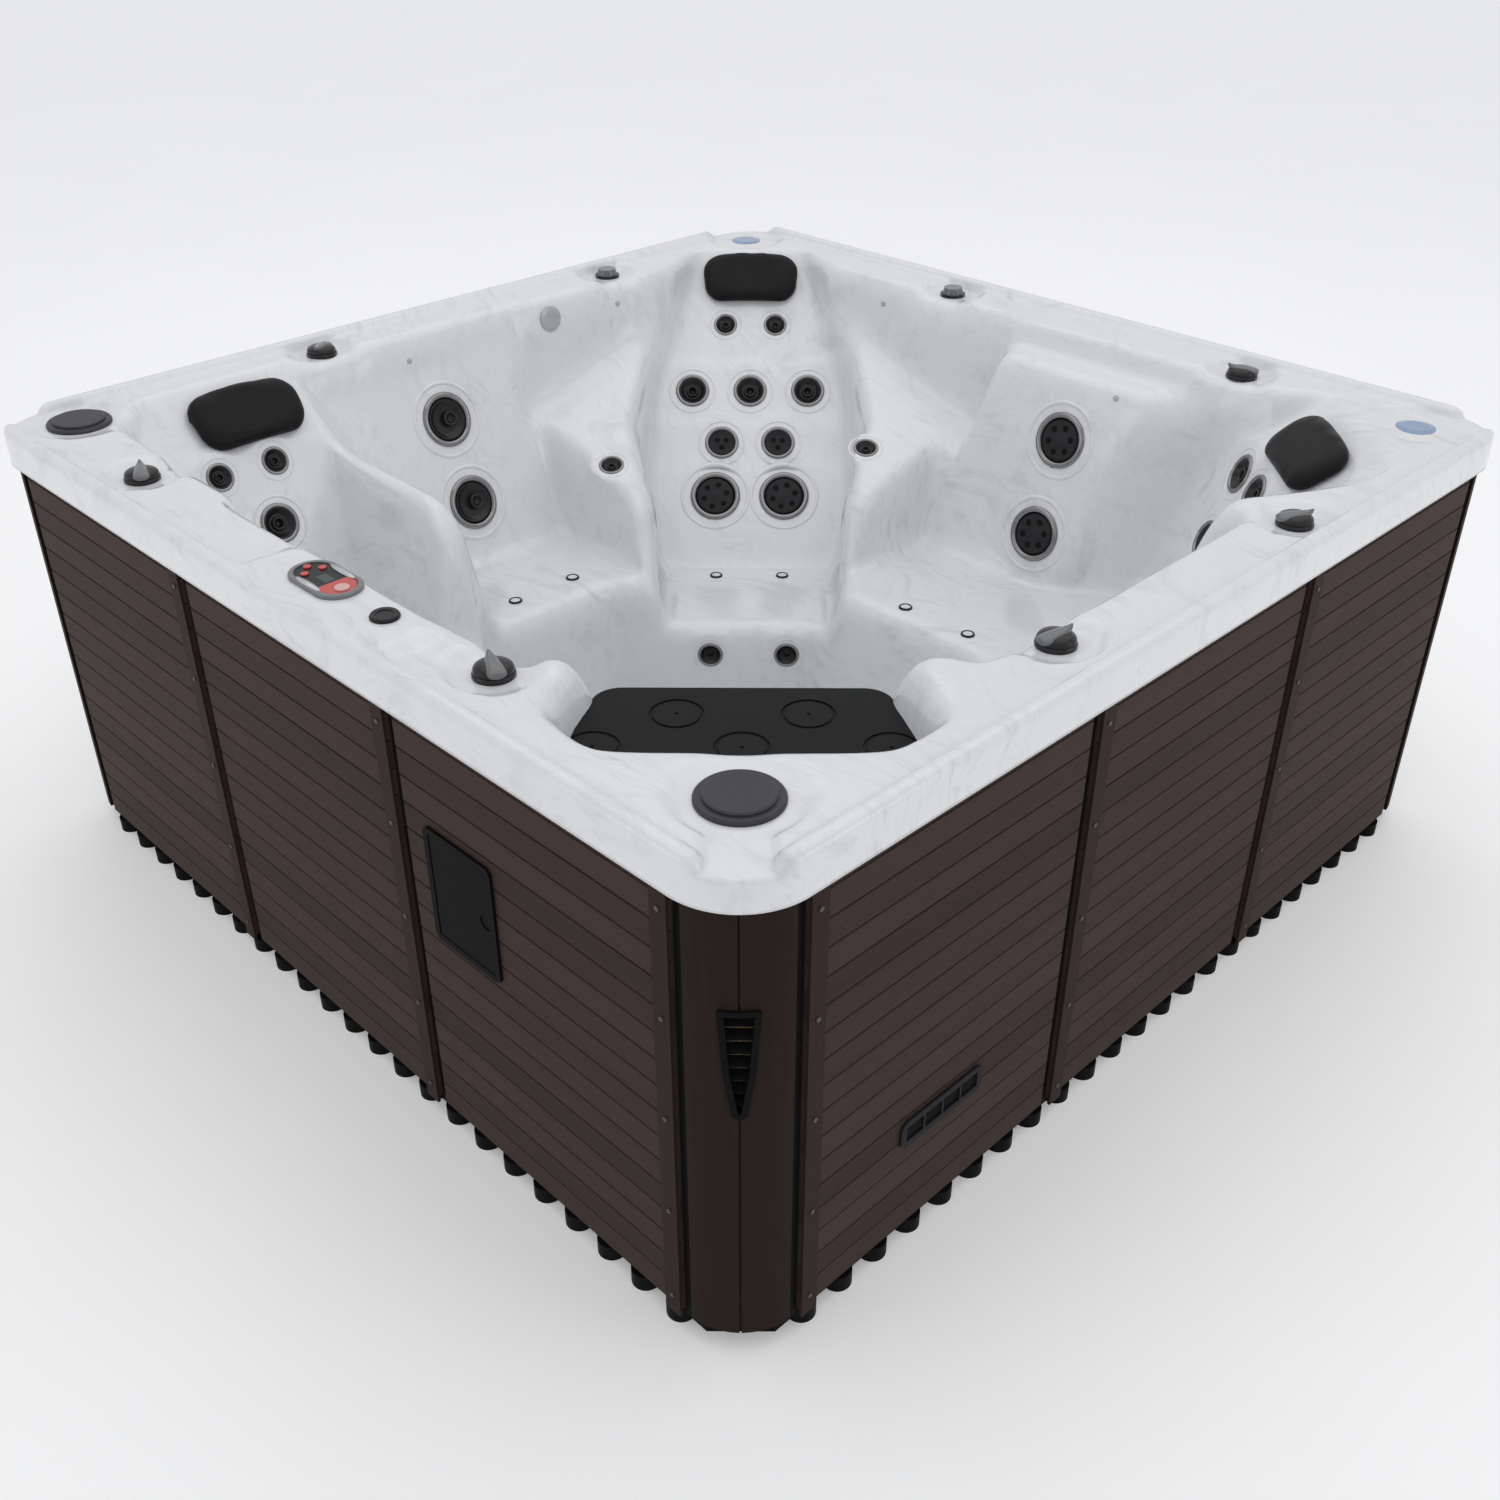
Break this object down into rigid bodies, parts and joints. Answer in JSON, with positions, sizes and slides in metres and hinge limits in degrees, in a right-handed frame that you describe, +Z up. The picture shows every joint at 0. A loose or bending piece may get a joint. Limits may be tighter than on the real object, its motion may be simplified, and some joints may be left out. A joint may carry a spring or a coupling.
{
  "type": "hot tub",
  "caption": "Square acrylic hot tub with slatted brown cabinet, moulded seats, jets, head pillows, filter well with lid, deck controls and pop-up corner speakers.",
  "frame": {"origin": "bottom centre of the bounding box", "axes": "+Z up, -Y the side with the control panel, +X the side with the louvred vent"},
  "size_m": [2.13, 2.13, 0.9336],
  "materials": {
    "acrylic": "polished, faint grey pearl swirls",
    "base_plastic": "fine texture",
    "timber": "sawn",
    "slats": "fine wood grain",
    "screw_steel": "dull",
    "lid_plastic": "fine texture",
    "filter_fabric": "pleated",
    "white_plastic": "smooth",
    "motor_paint": "satin",
    "pump_plastic": "smooth",
    "steel": "polished",
    "bezel_grey": "satin",
    "face_dark": "glossy",
    "key_red": "glossy",
    "dark_plastic": "glossy",
    "graphite": "glossy",
    "lens": "translucent look",
    "injector_grey": "glossy",
    "foam": "skinned foam"
  },
  "bodies": {
    "tub": {"shell": "acrylic", "base_pan": "base_plastic", "frame_rails": "timber", "frame_posts": "timber", "front_panels": "slats", "right_panels": "slats", "plain_panels": "slats", "panel_stiles": "slats", "panel_screws": "screw_steel", "panel_channels": "base_plastic", "corner_post_vented": "slats", "corner_posts": "slats", "corner_vent": "base_plastic", "side_vent": "base_plastic", "locker_box": "base_plastic", "filter_cartridges": "filter_fabric", "weir_frame": "white_plastic", "pump_motors": "motor_paint", "pump_wet_ends": "pump_plastic", "pipes": "white_plastic", "heater": "steel", "control_box": "motor_paint", "topside_bezel": "bezel_grey", "topside_face": "face_dark", "aux_keypad": "face_dark", "valve_bases": "dark_plastic", "speaker_sleeves": "lid_plastic", "corner_lights": "lens", "jets_large": "steel", "jets_medium": "steel", "jets_small": "steel", "air_injectors": "injector_grey", "wall_fittings": "lens", "suction_covers": "dark_plastic", "pillow_tall": "foam", "pillow_right": "foam", "pillow_left": "foam"},
    "locker_door_body": {"locker_door": "base_plastic"},
    "filter_lid_body": {"filter_lid": "lid_plastic"},
    "weir_flap_body": {"weir_flap": "white_plastic"},
    "key_menu_body": {"key_menu": "key_red"},
    "key_warm_body": {"key_warm": "key_red"},
    "key_cool_body": {"key_cool": "key_red"},
    "key_jets_body": {"key_jets": "key_red"},
    "lever_front_right_body": {"lever_front_right": "graphite"},
    "lever_right_front_body": {"lever_right_front": "graphite"},
    "lever_left_front_body": {"lever_left_front": "graphite"},
    "lever_rear_right_body": {"lever_rear_right": "graphite"},
    "lever_front_left_body": {"lever_front_left": "graphite"},
    "lever_right_rear_body": {"lever_right_rear": "graphite"},
    "knob_left_rear_body": {"knob_left_rear": "graphite"},
    "knob_rear_left_body": {"knob_rear_left": "graphite"},
    "jet_face_tall_left_body": {"jet_face_tall_left": "dark_plastic"},
    "jet_face_tall_right_body": {"jet_face_tall_right": "dark_plastic"},
    "jet_face_rear_low_body": {"jet_face_rear_low": "dark_plastic"},
    "jet_face_rear_high_body": {"jet_face_rear_high": "dark_plastic"},
    "jet_face_left_low_body": {"jet_face_left_low": "dark_plastic"},
    "jet_face_left_high_body": {"jet_face_left_high": "dark_plastic"},
    "speaker_near_body": {"speaker_near": "lid_plastic"},
    "speaker_left_body": {"speaker_left": "lid_plastic"}
  },
  "joints": [
    {"name": "locker_door_hinge", "type": "hinge", "parent": "tub", "child": "locker_door_body", "pos_m": [0.3873, -1.054, 0.557], "axis": [0, 0, -1], "range_deg": [0, 90]},
    {"name": "filter_lid_lift", "type": "slide", "parent": "tub", "child": "filter_lid_body", "axis": [0, 0, 1], "range_m": [0, 0.15]},
    {"name": "weir_flap_hinge", "type": "hinge", "parent": "tub", "child": "weir_flap_body", "pos_m": [0.63286, -0.63286, 0.6976], "axis": [0.7071, 0.7071, 0], "range_deg": [0, 75]},
    {"name": "key_menu_press", "type": "slide", "parent": "tub", "child": "key_menu_body", "axis": [0, 0, -1], "range_m": [0, 0.001], "stiffness_N_per_m": 400, "springref_m": -0.0005},
    {"name": "key_warm_press", "type": "slide", "parent": "tub", "child": "key_warm_body", "axis": [0, 0, -1], "range_m": [0, 0.001], "stiffness_N_per_m": 400, "springref_m": -0.0005},
    {"name": "key_cool_press", "type": "slide", "parent": "tub", "child": "key_cool_body", "axis": [0, 0, -1], "range_m": [0, 0.001], "stiffness_N_per_m": 400, "springref_m": -0.0005},
    {"name": "key_jets_press", "type": "slide", "parent": "tub", "child": "key_jets_body", "axis": [0, 0, -1], "range_m": [0, 0.001], "stiffness_N_per_m": 400, "springref_m": -0.0005},
    {"name": "lever_front_right_turn", "type": "hinge", "parent": "tub", "child": "lever_front_right_body", "pos_m": [0.4185, -0.93186, 0.894], "axis": [0, 0, 1], "range_deg": [0, 180]},
    {"name": "lever_right_front_turn", "type": "hinge", "parent": "tub", "child": "lever_right_front_body", "pos_m": [0.94116, -0.27342, 0.894], "axis": [0, 0, 1], "range_deg": [0, 180]},
    {"name": "lever_left_front_turn", "type": "hinge", "parent": "tub", "child": "lever_left_front_body", "pos_m": [-0.98208, -0.34968, 0.894], "axis": [0, 0, 1], "range_deg": [0, 180]},
    {"name": "lever_rear_right_turn", "type": "hinge", "parent": "tub", "child": "lever_rear_right_body", "pos_m": [0.51894, 0.9672, 0.894], "axis": [0, 0, 1], "range_deg": [0, 180]},
    {"name": "lever_front_left_turn", "type": "hinge", "parent": "tub", "child": "lever_front_left_body", "pos_m": [-0.6138, -0.9579, 0.894], "axis": [0, 0, 1], "range_deg": [0, 180]},
    {"name": "lever_right_rear_turn", "type": "hinge", "parent": "tub", "child": "lever_right_rear_body", "pos_m": [0.9765, 0.372, 0.894], "axis": [0, 0, 1], "range_deg": [0, 180]},
    {"name": "knob_left_rear_turn", "type": "hinge", "parent": "tub", "child": "knob_left_rear_body", "pos_m": [-0.99138, 0.48174, 0.894], "axis": [0, 0, 1], "range_deg": [-150, 150]},
    {"name": "knob_rear_left_turn", "type": "hinge", "parent": "tub", "child": "knob_rear_left_body", "pos_m": [-0.27993, 0.97836, 0.894], "axis": [0, 0, 1], "range_deg": [-150, 150]},
    {"name": "jet_face_tall_left_spin", "type": "hinge", "parent": "tub", "child": "jet_face_tall_left_body", "pos_m": [-0.47863, 0.60139, 0.42035], "axis": [0.5163, -0.5163, 0.6832], "continuous": true},
    {"name": "jet_face_tall_right_spin", "type": "hinge", "parent": "tub", "child": "jet_face_tall_right_body", "pos_m": [-0.60139, 0.47863, 0.42035], "axis": [0.5163, -0.5163, 0.6832], "continuous": true},
    {"name": "jet_face_rear_low_spin", "type": "hinge", "parent": "tub", "child": "jet_face_rear_low_body", "pos_m": [0.19995, 0.72752, 0.5003], "axis": [0, -0.9579, 0.2872], "continuous": true},
    {"name": "jet_face_rear_high_spin", "type": "hinge", "parent": "tub", "child": "jet_face_rear_high_body", "pos_m": [0.19995, 0.79028, 0.7096], "axis": [0, -0.9579, 0.2872], "continuous": true},
    {"name": "jet_face_left_low_spin", "type": "hinge", "parent": "tub", "child": "jet_face_left_low_body", "pos_m": [-0.80159, -0.11532, 0.52541], "axis": [0.9298, 0, 0.368], "continuous": true},
    {"name": "jet_face_left_high_spin", "type": "hinge", "parent": "tub", "child": "jet_face_left_high_body", "pos_m": [-0.87448, -0.11532, 0.7096], "axis": [0.9298, 0, 0.368], "continuous": true},
    {"name": "speaker_near_rise", "type": "slide", "parent": "tub", "child": "speaker_near_body", "axis": [0, 0, 1], "range_m": [0, 0.065]},
    {"name": "speaker_left_rise", "type": "slide", "parent": "tub", "child": "speaker_left_body", "axis": [0, 0, 1], "range_m": [0, 0.065]}
  ]
}
